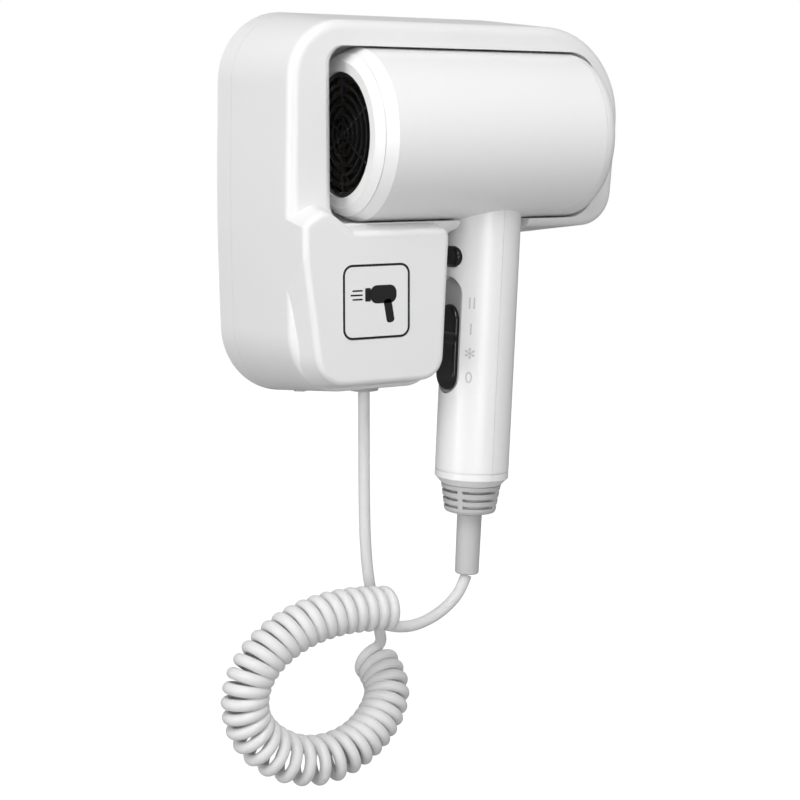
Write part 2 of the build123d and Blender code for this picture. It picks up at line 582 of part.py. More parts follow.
with BuildPart() as motor_shaft:
    turned([(MOTOR_X[0] - 1.5, 0), (MOTOR_X[0] - 1.5, SHAFT_R), (FAN_X[1] - 1, SHAFT_R), (FAN_X[1] - 1, 0)])
nodes["motor_shaft"] = motor_shaft.part

with BuildPart() as motor_armature:
    turned([(MOTOR_X[0] + 6, SHAFT_R), (MOTOR_X[0] + 6, 10.3), (MOTOR_X[1] - 7, 10.3),
            (MOTOR_X[1] - 7, SHAFT_R)])
    with BuildSketch(barrel_plane(MOTOR_X[0] + 5)) as slots:
        with PolarLocations(9.2, 3, start_angle=30):
            Rectangle(3.4, 1.6)
    extrude(slots.sketch, amount=20, mode=Mode.SUBTRACT)
    turned([(MOTOR_X[0] + 3.2, SHAFT_R), (MOTOR_X[0] + 3.2, 2.9), (MOTOR_X[0] + 6, 2.9),
            (MOTOR_X[0] + 6, SHAFT_R)])
nodes["motor_armature"] = motor_armature.part

FAN_BLADES, FAN_PITCH = 9, 38
with BuildPart() as fan:
    turned([(FAN_X[0], SHAFT_R), (FAN_X[0], 12), (FAN_X[1], 12), (FAN_X[1], 9), (FAN_X[1] - 1.5, 9),
            (FAN_X[1] - 1.5, SHAFT_R)])
    for turn in range(FAN_BLADES):
        around = turn * 360 / FAN_BLADES
        out = (0, cos(radians(around)), sin(radians(around)))
        root = Vector((FAN_X[0] + FAN_X[1]) / 2, BARREL_Y, BARREL_Z) + Vector(*out) * 11
        lean = Vector(1, 0, 0).rotate(Axis((0, 0, 0), out), FAN_PITCH)
        with BuildSketch(Plane(origin=root, x_dir=lean, z_dir=out)) as blade:
            Rectangle(13.2, 1.1)
        extrude(blade.sketch, amount=24)
    turned([(FAN_X[0], 0), (FAN_X[0], FAN_R), (FAN_X[1], FAN_R), (FAN_X[1], 0)], Mode.INTERSECT)
    turned([(FAN_X[0] - 1, 0), (FAN_X[0] - 1, SHAFT_R), (FAN_X[1] + 1, SHAFT_R),
            (FAN_X[1] + 1, 0)], Mode.SUBTRACT)
nodes["fan"] = fan.part

with BuildPart() as intake_grille:
    for radius in (7, 11.5, 16, 20.5):
        turned([(REAR_X - 1.8, radius - 0.7), (REAR_X - 1.8, radius + 0.7), (REAR_X + 0.2, radius + 0.7),
                (REAR_X + 0.2, radius - 0.7)])
    turned([(REAR_X - 1.8, 0), (REAR_X - 1.8, 3.6), (REAR_X + 0.2, 3.6), (REAR_X + 0.2, 0)])
    for turn in range(0, 180, 30):
        with BuildSketch(barrel_plane(REAR_X - 1.6)) as spoke:
            Rectangle(1.3, 2 * (INTAKE_R - 0.8), rotation=turn)
        extrude(spoke.sketch, amount=1.6)
    turned([(REAR_X + 0.2, 23.6), (REAR_X + 0.2, INTAKE_R - FIT), (REAR_X - SHELL - FIT, INTAKE_R - FIT),
            (REAR_X - SHELL - FIT, 27.5), (REAR_X - SHELL - 1.4, 27.5), (REAR_X - SHELL - 1.4, 23.6)])
nodes["intake_grille"] = intake_grille.part

with BuildPart() as intake_filter:
    turned([(REAR_X - 4.6, 0), (REAR_X - 4.6, 27.5), (REAR_X - 3.7, 27.5), (REAR_X - 3.7, 0)])
nodes["intake_filter"] = intake_filter.part

# ================================================================ controls in the handle
STEM_LENGTH, STEM_WIDTH, STEM_END = 10.0, 5.0, 12.9
SLOT_LENGTH = STEM_LENGTH + KNOB_TRAVEL + 0.8
SLOT_HEIGHT = KNOB_HEIGHT + KNOB_TRAVEL / 2
with BuildPart() as switch_track:
    control_slot(TRACK_HEIGHT, TRACK_LENGTH, TRACK_WIDTH, TRACK_FACE - 1.5, TRACK_FACE)
    rod(in_handle(0, 0, -150), tuple(HANDLE.z_dir), HANDLE_R - 0.2, 120, Mode.INTERSECT)
    handle_block((-HANDLE_R, -STEM_WIDTH / 2 - 0.4, SLOT_HEIGHT - SLOT_LENGTH / 2),
                 (-10, STEM_WIDTH / 2 + 0.4, SLOT_HEIGHT + SLOT_LENGTH / 2), Mode.SUBTRACT)
nodes["switch_track"] = switch_track.part

with BuildPart() as switch_slider:
    control_slot(KNOB_HEIGHT, KNOB_LENGTH, KNOB_WIDTH, TRACK_FACE + 0.3, KNOB_CREST)
    crest = switch_slider.faces().sort_by(Axis((0, 0, 0), HANDLE.x_dir))[0]
    fillet(crest.edges(), 1.6)
    scoop_start = in_handle(-KNOB_CREST - 3.0, -12, KNOB_HEIGHT + 5)
    with BuildSketch(Plane(origin=scoop_start, x_dir=HANDLE.x_dir, z_dir=(0, 1, 0))) as scoop:
        Circle(4.2)
    extrude(scoop.sketch, amount=24, mode=Mode.SUBTRACT)
    handle_block((-TRACK_FACE - 0.5, -STEM_WIDTH / 2, KNOB_HEIGHT - STEM_LENGTH / 2),
                 (-STEM_END, STEM_WIDTH / 2, KNOB_HEIGHT + STEM_LENGTH / 2))
nodes["switch_slider"] = switch_slider.part

with BuildPart() as switch_body:
    handle_block((-14.5, -6, -124), (-5, 6, -81))
    handle_block((-15, -STEM_WIDTH / 2 - 0.4, SLOT_HEIGHT - SLOT_LENGTH / 2),
                 (-12.3, STEM_WIDTH / 2 + 0.4, SLOT_HEIGHT + SLOT_LENGTH / 2), Mode.SUBTRACT)
nodes["switch_body"] = switch_body.part

with BuildPart() as push_button:
    control_slot(BUTTON_HEIGHT, BUTTON_LENGTH, BUTTON_WIDTH, 12.2, BUTTON_CREST, upright=False)
    crest = push_button.faces().sort_by(Axis((0, 0, 0), HANDLE.x_dir))[0]
    fillet(crest.edges(), 1.8)
    control_slot(BUTTON_HEIGHT, BUTTON_LENGTH + 2.6, BUTTON_WIDTH + 2.6, 11.0, 12.2, upright=False)
    rod(in_handle(-11.2, 0, BUTTON_HEIGHT), tuple(HANDLE.x_dir), 1.6, 2.0)
nodes["push_button"] = push_button.part

with BuildPart() as button_switch:
    handle_block((-6, -5, BUTTON_HEIGHT - 6.5), (1, 5, BUTTON_HEIGHT + 6.5))
    rod(in_handle(-6.8, 0, BUTTON_HEIGHT), tuple(HANDLE.x_dir), 1.5, 1.0)
nodes["button_switch"] = button_switch.part

SPRING_WIRE_R, SPRING_PITCH = 0.3, 1.2
with BuildPart() as button_spring:
    with BuildLine() as turns:
        Helix(SPRING_PITCH, 4.2, 3.0, center=in_handle(-10.6, 0, BUTTON_HEIGHT), direction=HANDLE.x_dir)
    with BuildSketch(Plane(origin=turns.line @ 0, z_dir=turns.line % 0)):
        Circle(SPRING_WIRE_R)
    sweep(is_frenet=True)
nodes["button_spring"] = button_spring.part

with BuildPart() as park_magnet:
    block((15, BARREL_Y - 4, BARREL_Z - INNER_R + 0.9), (25, BARREL_Y + 4, BARREL_Z - INNER_R + 3.9))
nodes["park_magnet"] = park_magnet.part

# ================================================================ cord entry of the handset
RELIEF_TOP_R, RELIEF_FOOT_R = 14.9, 12.7
with BuildPart() as relief_slots:
    for height in (-174.3, -178.2, -181.9):
        turned_on_handle([(10.6, height - 0.75), (20, height - 0.75), (20, height + 0.75),
                          (10.6, height + 0.75)])
    for turn in (35, 125):
        with BuildSketch(HANDLE.offset(-184)) as web:
            Rectangle(2.6, 50, rotation=turn)
        extrude(web.sketch, amount=12, mode=Mode.SUBTRACT)

with BuildPart() as strain_relief:
    turned_on_handle([(CORD_R + 0.05, -160), (10, -160), (10, -163.4), (15.6, -163.4), (15.6, -167.2),
                      (13.5, -167.2), (13.5, HANDLE_END - SEAM), (RELIEF_TOP_R, HANDLE_END - SEAM),
                      (RELIEF_FOOT_R + 0.2, RELIEF_END + 1.5), (RELIEF_FOOT_R - 0.4, RELIEF_END + 0.4),
                      (RELIEF_FOOT_R - 1.5, RELIEF_END), (CORD_R + 0.05, RELIEF_END)])
    add(relief_slots.part, mode=Mode.SUBTRACT)
nodes["strain_relief"] = strain_relief.part

with BuildPart() as cord_sleeve:
    turned_on_handle([(CORD_R + 0.05, RELIEF_END), (6.2, RELIEF_END), (5.95, SLEEVE_END + 0.5),
                      (5.5, SLEEVE_END), (CORD_R + 0.05, SLEEVE_END)])
nodes["cord_sleeve"] = cord_sleeve.part

with BuildPart() as handset_cord_end:
    rod(in_handle(0, 0, SLEEVE_END), tuple(HANDLE.z_dir), CORD_R, 59)
nodes["handset_cord_end"] = handset_cord_end.part

handset_routes = [
    [in_handle(-1, -1.2, -157.8), in_handle(-2.5, -7, -150), in_handle(-6, -8.5, -138),
     in_handle(-9, -6, -130), in_handle(-9, -4, -124.2)],
    [in_handle(1, 1.2, -157.8), in_handle(2.5, 7, -150), in_handle(4, 9, -128), in_handle(3, 9.5, -84),
     in_handle(-6.6, 8.5, -58), in_handle(-8, 7.5, -42), (66.8, BARREL_Y + 6, -4), (65.8, BARREL_Y + 3, 4),
     (57.9, BARREL_Y + 1.8, 7)],
    [in_handle(-8.5, -4, -80.8), in_handle(-7, -7.5, -74), in_handle(-6.6, -8.2, -58),
     in_handle(-8, -7.5, -42), (66.8, BARREL_Y - 6, -4), (65.8, BARREL_Y - 3, 5), (57.9, BARREL_Y - 1.8, 9)],
]
nodes["handset_leads"] = leads(handset_routes, 0.9)

# ================================================================ curly cord
nodes["cord_coil"] = tube(COIL_ROUTE, COIL_R)
nodes["cord_base_tail"] = tube(BASE_TAIL, CORD_R)
nodes["cord_handset_tail"] = tube(HANDSET_TAIL, CORD_R)

# ================================================================ files
os.makedirs("parts", exist_ok=True)
for name, solid in nodes.items():
    solid.label = name
    export_step(solid, f"parts/{name}.step")
print(len(nodes), "nodes")
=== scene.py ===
"""Wall-mounted hair dryer: finishes, curly cord, spring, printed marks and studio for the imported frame."""
from math import atan, atan2, cos, pi, radians, sin

import bpy
from mathutils import Matrix, Vector


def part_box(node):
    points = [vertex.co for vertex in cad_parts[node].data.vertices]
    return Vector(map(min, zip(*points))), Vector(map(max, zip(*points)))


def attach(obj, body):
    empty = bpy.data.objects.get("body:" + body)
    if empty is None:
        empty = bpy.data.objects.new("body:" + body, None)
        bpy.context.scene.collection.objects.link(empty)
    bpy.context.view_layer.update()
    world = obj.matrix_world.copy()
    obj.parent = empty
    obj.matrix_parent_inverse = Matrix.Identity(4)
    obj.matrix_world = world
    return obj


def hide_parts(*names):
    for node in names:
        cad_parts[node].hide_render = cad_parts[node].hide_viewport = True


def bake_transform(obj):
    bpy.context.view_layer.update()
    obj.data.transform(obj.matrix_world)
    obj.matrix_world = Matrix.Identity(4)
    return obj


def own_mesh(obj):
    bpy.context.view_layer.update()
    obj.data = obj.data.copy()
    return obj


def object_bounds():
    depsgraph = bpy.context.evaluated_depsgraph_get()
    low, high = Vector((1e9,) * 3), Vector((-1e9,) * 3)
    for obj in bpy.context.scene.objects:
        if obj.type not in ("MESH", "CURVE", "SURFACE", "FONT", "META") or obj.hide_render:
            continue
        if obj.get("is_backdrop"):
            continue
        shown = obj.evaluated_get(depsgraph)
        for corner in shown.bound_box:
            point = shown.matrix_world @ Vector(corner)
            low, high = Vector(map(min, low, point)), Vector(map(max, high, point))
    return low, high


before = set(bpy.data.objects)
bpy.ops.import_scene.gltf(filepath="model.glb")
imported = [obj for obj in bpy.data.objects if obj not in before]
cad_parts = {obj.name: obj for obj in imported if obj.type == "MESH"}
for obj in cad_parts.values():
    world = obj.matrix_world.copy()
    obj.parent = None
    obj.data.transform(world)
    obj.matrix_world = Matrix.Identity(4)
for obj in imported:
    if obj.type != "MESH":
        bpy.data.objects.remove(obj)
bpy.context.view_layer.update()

bl_info = {
    "name": "Wall Hair Dryer",
    "version": (1, 0, 0),
    "blender": (4, 5, 0),
    "location": "View3D > Sidebar > Hair Dryer",
    "description": "Finishes, curly cord, return spring and printed marks of a wall-mounted hair dryer",
    "category": "Object",
}

MM = 0.001

# Handle: an axis that leans a little from the vertical, with the controls towards the outlet.
# The button is pressed towards the handle's rear.
HANDLE_TOP = Vector((0.07827, -0.052, 0.030))
HANDLE_LEAN = atan(0.0489)
HANDLE_UP = Vector((sin(HANDLE_LEAN), 0, cos(HANDLE_LEAN)))
HANDLE_REAR = Vector((cos(HANDLE_LEAN), 0, -sin(HANDLE_LEAN)))
FRONT = Vector((0, -1, 0))

# Route of the cord, in millimetres: down from the base, round the coil and up to the handset
BASE_TAIL = [
    (14.4, -42, -91.5), (14.4, -42, -115), (14.6, -41.6, -140), (15.6, -40.4, -164),
    (18.6, -38.2, -186), (24.6, -34.6, -204), (32.4, -27.6, -222.6),
]
COIL_ROUTE = [
    (20, -56, -197.5), (6, -55.6, -195.6), (-11, -54.6, -196), (-27, -53.5, -199.6),
    (-41, -53, -206.8), (-51.8, -52.5, -217.2), (-56.8, -52, -231), (-54.4, -51.5, -245.5),
    (-44.4, -50.8, -258.3), (-29.5, -50, -267.3), (-12, -48.6, -271), (6, -46.4, -267.8),
    (20.5, -42.8, -259.6), (31, -36.5, -249.6), (34.6, -27, -241.3), (33.8, -17, -235.6),
]
HANDSET_TAIL = [
    (67.3, -52, -187.9), (64.7, -52, -194.4), (58.2, -52, -201.2), (48.6, -52.2, -206.6),
    (37.5, -53, -209.2), (28, -54.2, -208.6), (18.9, -55.2, -206.4),
]


# ---------------------------------------------------------------- sizes and colours

class FinishSettings(bpy.types.PropertyGroup):
    """Colours of the mouldings."""

    base_colour: bpy.props.FloatVectorProperty(
        name="Base", description="Colour of the wall base", subtype="COLOR", size=3,
        default=(0.85, 0.85, 0.85))
    handset_colour: bpy.props.FloatVectorProperty(
        name="Handset", description="Colour of the handset's shells", subtype="COLOR", size=3,
        default=(0.90, 0.90, 0.90))
    control_colour: bpy.props.FloatVectorProperty(
        name="Controls", description="Colour of the slide knob and the button", subtype="COLOR", size=3,
        default=(0.006, 0.004, 0.0035))
    cord_colour: bpy.props.FloatVectorProperty(
        name="Cord", description="Colour of the cord's jacket", subtype="COLOR", size=3,
        default=(0.78, 0.78, 0.78))
    relief_colour: bpy.props.FloatVectorProperty(
        name="Strain relief", description="Colour of the strain relief and sleeve", subtype="COLOR", size=3,
        default=(0.56, 0.56, 0.56))
    track_colour: bpy.props.FloatVectorProperty(
        name="Track", description="Colour of the switch's track", subtype="COLOR", size=3,
        default=(0.45, 0.45, 0.46))


class CordSettings(bpy.types.PropertyGroup):
    """Sizes of the curly cord."""

    diameter: bpy.props.FloatProperty(
        name="Diameter", description="Diameter of the cord's jacket", unit="LENGTH", default=5.7 * MM)
    turn_radius: bpy.props.FloatProperty(
        name="Turn radius", description="Radius of the coil's turns, to the cord's middle",
        unit="LENGTH", default=8.65 * MM)
    closed_pitch: bpy.props.FloatProperty(
        name="Closed pitch", description="Distance between turns where they touch",
        unit="LENGTH", default=5.75 * MM)
    open_pitch: bpy.props.FloatProperty(
        name="Open pitch", description="Distance between turns at the bottom of the loop",
        unit="LENGTH", default=8.8 * MM)


class MarkSettings(bpy.types.PropertyGroup):
    """Sizes of the printed marks."""

    outline_width: bpy.props.FloatProperty(
        name="Badge outline", description="Width of the badge's outline", unit="LENGTH", default=1.1 * MM)
    mark_height: bpy.props.FloatProperty(
        name="Mark height", description="Height of the marks beside the slide switch",
        unit="LENGTH", default=5.5 * MM)
    ink_thickness: bpy.props.FloatProperty(
        name="Ink", description="Thickness of the print", unit="LENGTH", default=0.06 * MM)


# ---------------------------------------------------------------- shared helpers

def deselect_all():
    """Leave nothing selected, in object mode."""
    if bpy.context.mode != "OBJECT":
        bpy.ops.object.mode_set(mode="OBJECT")
    bpy.ops.object.select_all(action="DESELECT")


def make_active(piece):
    """Select one piece alone."""
    deselect_all()
    piece.select_set(True)
    bpy.context.view_layer.objects.active = piece


def settle(piece):
    """Put the piece's place, turn and size into its mesh."""
    make_active(piece)
    bpy.ops.object.transform_apply(location=True, rotation=True, scale=True)


def apply_modifiers(piece):
    """Apply every modifier of a piece, in order."""
    make_active(piece)
    for modifier in list(piece.modifiers):
        bpy.ops.object.modifier_apply(modifier=modifier.name)


def join_pieces(pieces, name):
    """Join pieces into one and name it."""
    deselect_all()
    for piece in pieces:
        piece.select_set(True)
    bpy.context.view_layer.objects.active = pieces[0]
    if len(pieces) > 1:
        bpy.ops.object.join()
    pieces[0].name = name
    return pieces[0]


def give_material(piece, material):
    """Give the whole piece one material."""
    piece.data.materials.clear()
    piece.data.materials.append(material)


# ---------------------------------------------------------------- materials

def shader(name):
    """A new material with its node tree, its shader and its object coordinates."""
    material = bpy.data.materials.new(name)
    material.use_nodes = True
    tree = material.node_tree
    surface = tree.nodes["Principled BSDF"]
    place = tree.nodes.new("ShaderNodeTexCoord")
    return material, tree, surface, place.outputs["Object"]


def noise(tree, place, scale, detail, roughness=0.5):
    """A noise pattern on the given coordinates."""
    node = tree.nodes.new("ShaderNodeTexNoise")
    node.inputs["Scale"].default_value = scale
    node.inputs["Detail"].default_value = detail
    node.inputs["Roughness"].default_value = roughness
    tree.links.new(place, node.inputs["Vector"])
    return node.outputs["Fac"]


def spread(tree, value, low, high, from_low=0.3, from_high=0.7):
    """Map a pattern's middle range to a range of values."""
    node = tree.nodes.new("ShaderNodeMapRange")
    node.inputs["From Min"].default_value = from_low
    node.inputs["From Max"].default_value = from_high
    node.inputs["To Min"].default_value = low
    node.inputs["To Max"].default_value = high
    tree.links.new(value, node.inputs["Value"])
    return node.outputs["Result"]


def tinted(tree, value, colour, shade):
    """A colour that drifts a little with a pattern, from the colour to a shade of it."""
    node = tree.nodes.new("ShaderNodeMix")
    node.data_type = "RGBA"
    node.inputs["A"].default_value = (*colour, 1)
    node.inputs["B"].default_value = (*(channel * shade for channel in colour), 1)
    tree.links.new(value, node.inputs["Factor"])
    return node.outputs["Result"]


def bumped(tree, surface, value, strength, distance):
    """Raise the surface by a pattern."""
    node = tree.nodes.new("ShaderNodeBump")
    node.inputs["Strength"].default_value = strength
    node.inputs["Distance"].default_value = distance
    tree.links.new(value, node.inputs["Height"])
    tree.links.new(node.outputs["Normal"], surface.inputs["Normal"])


def moulded_plastic(name, colour, roughness, grain=0.02, grain_scale=900, shade=0.985, coat=0.0):
    """Moulded plastic: a faint drift of colour and gloss, and the fine skin of the mould."""
    material, tree, surface, place = shader(name)
    drift = noise(tree, place, 14, 3)
    tree.links.new(tinted(tree, spread(tree, drift, 0, 1), colour, shade), surface.inputs["Base Color"])
    gloss = spread(tree, noise(tree, place, 8, 1), roughness * 0.99, roughness * 1.01, 0, 1)
    tree.links.new(gloss, surface.inputs["Roughness"])
    bumped(tree, surface, noise(tree, place, grain_scale, 4, 0.6), grain, 0.0004)
    surface.inputs["IOR"].default_value = 1.5
    surface.inputs["Coat Weight"].default_value = coat
    surface.inputs["Coat Roughness"].default_value = 0.12
    return material


def drawn_metal(name, colour, roughness, along, streak=70):
    """Metal with fine streaks round or along an axis, given as the scale on each axis."""
    material, tree, surface, place = shader(name)
    stretch = tree.nodes.new("ShaderNodeMapping")
    stretch.inputs["Scale"].default_value = along
    tree.links.new(place, stretch.inputs["Vector"])
    lines = noise(tree, stretch.outputs["Vector"], streak, 6, 0.65)
    tree.links.new(tinted(tree, spread(tree, lines, 0, 1), colour, 0.86), surface.inputs["Base Color"])
    tree.links.new(spread(tree, lines, roughness * 0.8, roughness * 1.35), surface.inputs["Roughness"])
    bumped(tree, surface, lines, 0.08, 0.0003)
    surface.inputs["Metallic"].default_value = 1.0
    return material


def flaked_mica(name, colour):
    """Pressed mica sheet: cloudy flakes with a slight sparkle."""
    material, tree, surface, place = shader(name)
    flakes = tree.nodes.new("ShaderNodeTexVoronoi")
    flakes.inputs["Scale"].default_value = 420
    tree.links.new(place, flakes.inputs["Vector"])
    clouds = noise(tree, place, 90, 6)
    tree.links.new(tinted(tree, spread(tree, clouds, 0, 1), colour, 0.72), surface.inputs["Base Color"])
    tree.links.new(spread(tree, flakes.outputs["Distance"], 0.35, 0.6, 0, 1), surface.inputs["Roughness"])
    bumped(tree, surface, flakes.outputs["Distance"], 0.1, 0.0003)
    return material


def wound_copper(name, colour):
    """Enamelled copper windings: fine turns along the shaft."""
    material, tree, surface, place = shader(name)
    turns = tree.nodes.new("ShaderNodeTexWave")
    turns.bands_direction = "Z"
    turns.inputs["Scale"].default_value = 900
    turns.inputs["Distortion"].default_value = 1.5
    tree.links.new(place, turns.inputs["Vector"])
    tree.links.new(tinted(tree, turns.outputs["Fac"], colour, 0.6), surface.inputs["Base Color"])
    tree.links.new(spread(tree, turns.outputs["Fac"], 0.25, 0.45, 0, 1), surface.inputs["Roughness"])
    bumped(tree, surface, turns.outputs["Fac"], 0.4, 0.0003)
    surface.inputs["Metallic"].default_value = 0.9
    return material


def woven_filter(name, colour):
    """Fine woven filter mesh behind the intake."""
    material, tree, surface, place = shader(name)
    threads = []
    for direction in ("Y", "Z"):
        band = tree.nodes.new("ShaderNodeTexWave")
        band.bands_direction = direction
        band.inputs["Scale"].default_value = 420
        tree.links.new(place, band.inputs["Vector"])
        threads.append(band.outputs["Fac"])
    both = tree.nodes.new("ShaderNodeMath")
    both.operation = "MULTIPLY"
    tree.links.new(threads[0], both.inputs[0])
    tree.links.new(threads[1], both.inputs[1])
    tree.links.new(tinted(tree, both.outputs["Value"], colour, 0.2), surface.inputs["Base Color"])
    tree.links.new(spread(tree, both.outputs["Value"], 0.5, 0.8, 0, 1), surface.inputs["Roughness"])
    bumped(tree, surface, both.outputs["Value"], 0.6, 0.0004)
    return material


FINISHED_NODES = {
    "base_white": ("back_cover", "front_housing", "pocket_badge"),
    "handset_white": ("front_shell", "rear_shell", "nose_ring"),
    "grille_black": ("outlet_grille", "intake_grille"),
    "mica": ("heater_former", "heat_shield"),
    "heating_wire": ("heating_coils",),
    "cutout_metal": ("thermal_cutout", "thermal_fuse"),
    "duct_black": ("fan_duct", "fan", "motor_end_cap"),
    "filter_mesh": ("intake_filter",),
    "motor_steel": ("motor_can", "motor_shaft"),
    "bearing_bronze": ("motor_bearings",),
    "winding_copper": ("motor_armature",),
    "magnet_grey": ("motor_magnets", "park_magnet"),
    "board_green": ("suppressor_board",),
    "screw_steel": ("housing_screws", "terminal_screws", "clamp_screws", "shell_screw", "button_spring"),
    "terminal_white": ("terminal_block", "cord_clamp"),
    "grommet_rubber": ("supply_grommet", "cord_bush"),
    "lead_white": ("base_leads", "handset_leads"),
    "cord_jacket": ("base_cord_end", "handset_cord_end"),
    "relief_grey": ("strain_relief", "cord_sleeve"),
    "track_grey": ("switch_track",),
    "control_black": ("switch_slider", "push_button"),
    "switch_black": ("parking_switch", "switch_body", "button_switch"),
}


class DRYER_OT_finishes(bpy.types.Operator):
    """Make every finish and give it to the frame's parts"""

    bl_idname = "dryer.finishes"
    bl_label = "Finish the Parts"

    def execute(self, context):
        colours = context.scene.dryer_finish
        made = {
            "base_white": moulded_plastic("base_white", colours.base_colour, 0.32),
            "handset_white": moulded_plastic("handset_white", colours.handset_colour, 0.27),
            "grille_black": moulded_plastic("grille_black", (0.012, 0.012, 0.013), 0.22, coat=0.3),
            "mica": flaked_mica("mica", (0.42, 0.36, 0.25)),
            "heating_wire": drawn_metal("heating_wire", (0.36, 0.30, 0.26), 0.4, (1, 6, 6)),
            "cutout_metal": drawn_metal("cutout_metal", (0.6, 0.6, 0.61), 0.35, (1, 8, 8)),
            "duct_black": moulded_plastic("duct_black", (0.025, 0.025, 0.026), 0.5, 0.12),
            "filter_mesh": woven_filter("filter_mesh", (0.10, 0.10, 0.10)),
            "motor_steel": drawn_metal("motor_steel", (0.55, 0.55, 0.56), 0.3, (12, 1, 1)),
            "bearing_bronze": drawn_metal("bearing_bronze", (0.50, 0.33, 0.14), 0.4, (3, 3, 3)),
            "winding_copper": wound_copper("winding_copper", (0.62, 0.26, 0.11)),
            "magnet_grey": moulded_plastic("magnet_grey", (0.06, 0.06, 0.065), 0.6, 0.2, 400, 0.8),
            "board_green": moulded_plastic("board_green", (0.02, 0.14, 0.05), 0.4, 0.1, 300, 0.8),
            "screw_steel": drawn_metal("screw_steel", (0.50, 0.50, 0.51), 0.32, (4, 4, 1)),
            "terminal_white": moulded_plastic("terminal_white", (0.66, 0.65, 0.61), 0.45, 0.1),
            "grommet_rubber": moulded_plastic("grommet_rubber", (0.48, 0.48, 0.49), 0.6, 0.15, 500, 0.9),
            "lead_white": moulded_plastic("lead_white", (0.62, 0.62, 0.60), 0.45, 0.08),
            "cord_jacket": moulded_plastic("cord_jacket", colours.cord_colour, 0.42, 0.10, 700),
            "relief_grey": moulded_plastic("relief_grey", colours.relief_colour, 0.42, 0.10, 700),
            "track_grey": moulded_plastic("track_grey", colours.track_colour, 0.42, 0.10, 700),
            "control_black": moulded_plastic("control_black", colours.control_colour, 0.16, 0.01),
            "switch_black": moulded_plastic("switch_black", (0.02, 0.02, 0.02), 0.5, 0.12),
            "print_black": moulded_plastic("print_black", (0.004, 0.004, 0.004), 0.5, 0.02),
            "print_grey": moulded_plastic("print_grey", (0.60, 0.60, 0.60), 0.4, 0.02),
        }
        for finish, names in FINISHED_NODES.items():
            for name in names:
                give_material(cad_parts[name], made[finish])
        return {"FINISHED"}


# ---------------------------------------------------------------- curly cord

def route_points(name, points):
    """Points along the smooth line that a list of route points controls, in metres."""
    curve = bpy.data.curves.new(name, "CURVE")
    curve.dimensions = "3D"
    curve.resolution_u = 24
    spline = curve.splines.new("NURBS")
    spline.points.add(len(points) - 1)
    for control, point in zip(spline.points, points):
        control.co = (*(value * MM for value in point), 1)
    spline.order_u = 3
    spline.use_endpoint_u = True
    holder = bpy.data.objects.new(name, curve)
    bpy.context.scene.collection.objects.link(holder)
    bpy.context.view_layer.update()
    line = bpy.data.meshes.new_from_object(holder.evaluated_get(bpy.context.evaluated_depsgraph_get()))
    found = [vertex.co.copy() for vertex in line.vertices]
    bpy.data.objects.remove(holder)
    bpy.data.curves.remove(curve)
    bpy.data.meshes.remove(line)
    return found


def evenly(points, step):
    """The same line with its points a set distance apart."""
    spaced, carried = [points[0]], 0.0
    for start, end in zip(points, points[1:]):
        run = (end - start).length
        at = step - carried
        while at <= run:
            spaced.append(start.lerp(end, at / run))
            at += step
        carried = run - (at - step)
    return spaced


def smooth_step(value):
    """Ease from 0 to 1."""
    value = min(max(value, 0.0), 1.0)
    return value * value * (3 - 2 * value)


def carried_frames(points, first_side):
    """A direction and two sides at each point, with no twist of their own."""
    frames, side = [], first_side
    for index in range(len(points)):
        ahead = (points[min(index + 1, len(points) - 1)] - points[max(index - 1, 0)]).normalized()
        side = (side - ahead * side.dot(ahead)).normalized()
        frames.append((ahead, side, ahead.cross(side)))
    return frames


def joining_points(start, start_way, end, end_way, step):
    """Points on a smooth bend from one point and direction to another, without its ends."""
    reach = (end - start).length
    count = max(int(reach * 1.2 / step), 4)
    points = []
    for index in range(1, count):
        t = index / count
        pull = reach * 1.1
        points.append(
            start * (2 * t**3 - 3 * t**2 + 1) + start_way * pull * (t**3 - 2 * t**2 + t)
            + end * (3 * t**2 - 2 * t**3) + end_way * pull * (t**3 - t**2))
    return points


COIL_STEP = 0.2 * MM
CORD_STEP = 1.0 * MM
CLOSED_UPPER, OPEN_FROM, OPEN_TO, CLOSED_LOWER = 0.42, 0.56, 0.67, 0.80  # shares of the coil's length
OPEN_GROWTH = 0.10  # how much wider the turns are where the coil is open, as a share of their radius
UPPER_TIGHTNESS = 0.05  # how much narrower the first turn is, as a share of its radius
UPPER_EASE = 4  # the turns reach their full radius after one part in this many of the coil
TAIL_TRIM = 7 * MM  # the tails' last stretch, which the bend into the coil takes


def coil_points(settings, meeting_point):
    """The cord's turns, from the coil's upper end to its lower end, which stops facing meeting_point."""
    line = evenly(route_points("coil_line", COIL_ROUTE), COIL_STEP)
    frames = carried_frames(line, Vector((0, 0, -1)))
    phases, spreads = [0.0], []
    for index in range(len(line)):
        share = index / (len(line) - 1)
        opened = smooth_step((share - CLOSED_UPPER) / (OPEN_FROM - CLOSED_UPPER))
        opened *= 1 - smooth_step((share - OPEN_TO) / (CLOSED_LOWER - OPEN_TO))
        pitch = settings.closed_pitch + (settings.open_pitch - settings.closed_pitch) * opened
        tightness = UPPER_TIGHTNESS * (1 - smooth_step(share * UPPER_EASE))
        spreads.append(settings.turn_radius * (1 + OPEN_GROWTH * opened - tightness))
        phases.append(phases[-1] + 2 * pi * COIL_STEP / pitch)
    _, side, other = frames[-1]
    towards = meeting_point - line[-1]
    last = atan2(towards.dot(other), towards.dot(side))
    whole = last + 2 * pi * round((phases[-2] - last) / (2 * pi))
    stretch = whole / phases[-2]
    turns = [
        point + (side * cos(phase * stretch) + other * sin(phase * stretch)) * radius
        for point, (_, side, other), phase, radius in zip(line, frames, phases, spreads)]
    return evenly(turns, CORD_STEP)


def trimmed(points, length):
    """A line without its last stretch."""
    keep = len(points) - max(int(length / CORD_STEP), 1)
    return points[:keep]


